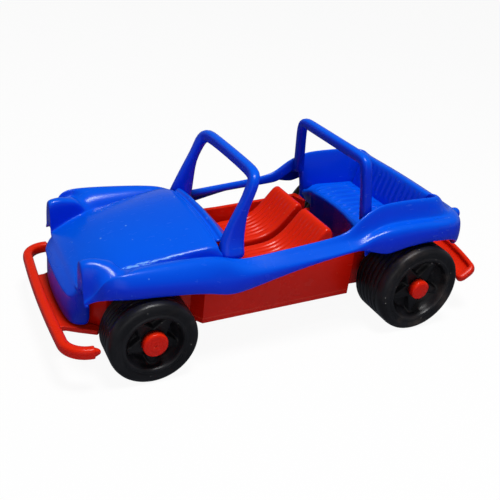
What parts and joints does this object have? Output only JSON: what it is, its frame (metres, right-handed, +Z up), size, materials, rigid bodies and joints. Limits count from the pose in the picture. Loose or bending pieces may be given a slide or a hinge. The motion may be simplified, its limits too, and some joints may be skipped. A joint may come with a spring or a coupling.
{
  "type": "toy dune buggy",
  "caption": "Small moulded plastic toy dune buggy with an open shell, windscreen frame, roll bar, bucket seats, two bumpers and freely rolling wheels.",
  "frame": {"origin": "on the ground, under the middle of the car's length and width", "axes": "+X forward, +Y to the car's left, +Z up"},
  "size_m": [0.1632, 0.0752, 0.0641],
  "materials": {
    "blue_plastic": "glossy moulded polyethylene, royal blue, with fine scuffs",
    "red_plastic": "glossy moulded polyethylene, orange red",
    "black_plastic": "soft black plastic, satin, slightly dusty in the tread"
  },
  "bodies": {
    "car": {"hood": "blue_plastic", "nose_panel": "blue_plastic", "left_front_fender": "blue_plastic", "right_front_fender": "blue_plastic", "left_rear_fender": "blue_plastic", "right_rear_fender": "blue_plastic", "left_sill": "blue_plastic", "right_sill": "blue_plastic", "cowl": "blue_plastic", "windscreen_frame": "blue_plastic", "roll_bar": "blue_plastic", "left_tub_wall": "blue_plastic", "right_tub_wall": "blue_plastic", "back_wall": "blue_plastic", "rear_bench": "blue_plastic", "tail_deck": "blue_plastic", "left_headlight": "blue_plastic", "right_headlight": "blue_plastic", "left_tail_light": "blue_plastic", "right_tail_light": "blue_plastic", "chassis_pan": "red_plastic", "left_seat": "red_plastic", "right_seat": "red_plastic", "front_bumper": "red_plastic", "rear_bumper": "red_plastic", "front_left_hub_pin": "red_plastic", "front_right_hub_pin": "red_plastic", "rear_left_hub_pin": "red_plastic", "rear_right_hub_pin": "red_plastic"},
    "front_left_wheel": {"front_left_wheel": "black_plastic"},
    "front_right_wheel": {"front_right_wheel": "black_plastic"},
    "rear_left_wheel": {"rear_left_wheel": "black_plastic"},
    "rear_right_wheel": {"rear_right_wheel": "black_plastic"}
  },
  "joints": [
    {"name": "front_left_roll", "type": "hinge", "parent": "car", "child": "front_left_wheel", "pos_m": [0.05325, 0.0305, 0.0143], "axis": [0, 1, 0], "continuous": true},
    {"name": "front_right_roll", "type": "hinge", "parent": "car", "child": "front_right_wheel", "pos_m": [0.05325, -0.0305, 0.0143], "axis": [0, 1, 0], "continuous": true},
    {"name": "rear_left_roll", "type": "hinge", "parent": "car", "child": "rear_left_wheel", "pos_m": [-0.04675, 0.0305, 0.0168], "axis": [0, 1, 0], "continuous": true},
    {"name": "rear_right_roll", "type": "hinge", "parent": "car", "child": "rear_right_wheel", "pos_m": [-0.04675, -0.0305, 0.0168], "axis": [0, 1, 0], "continuous": true}
  ]
}
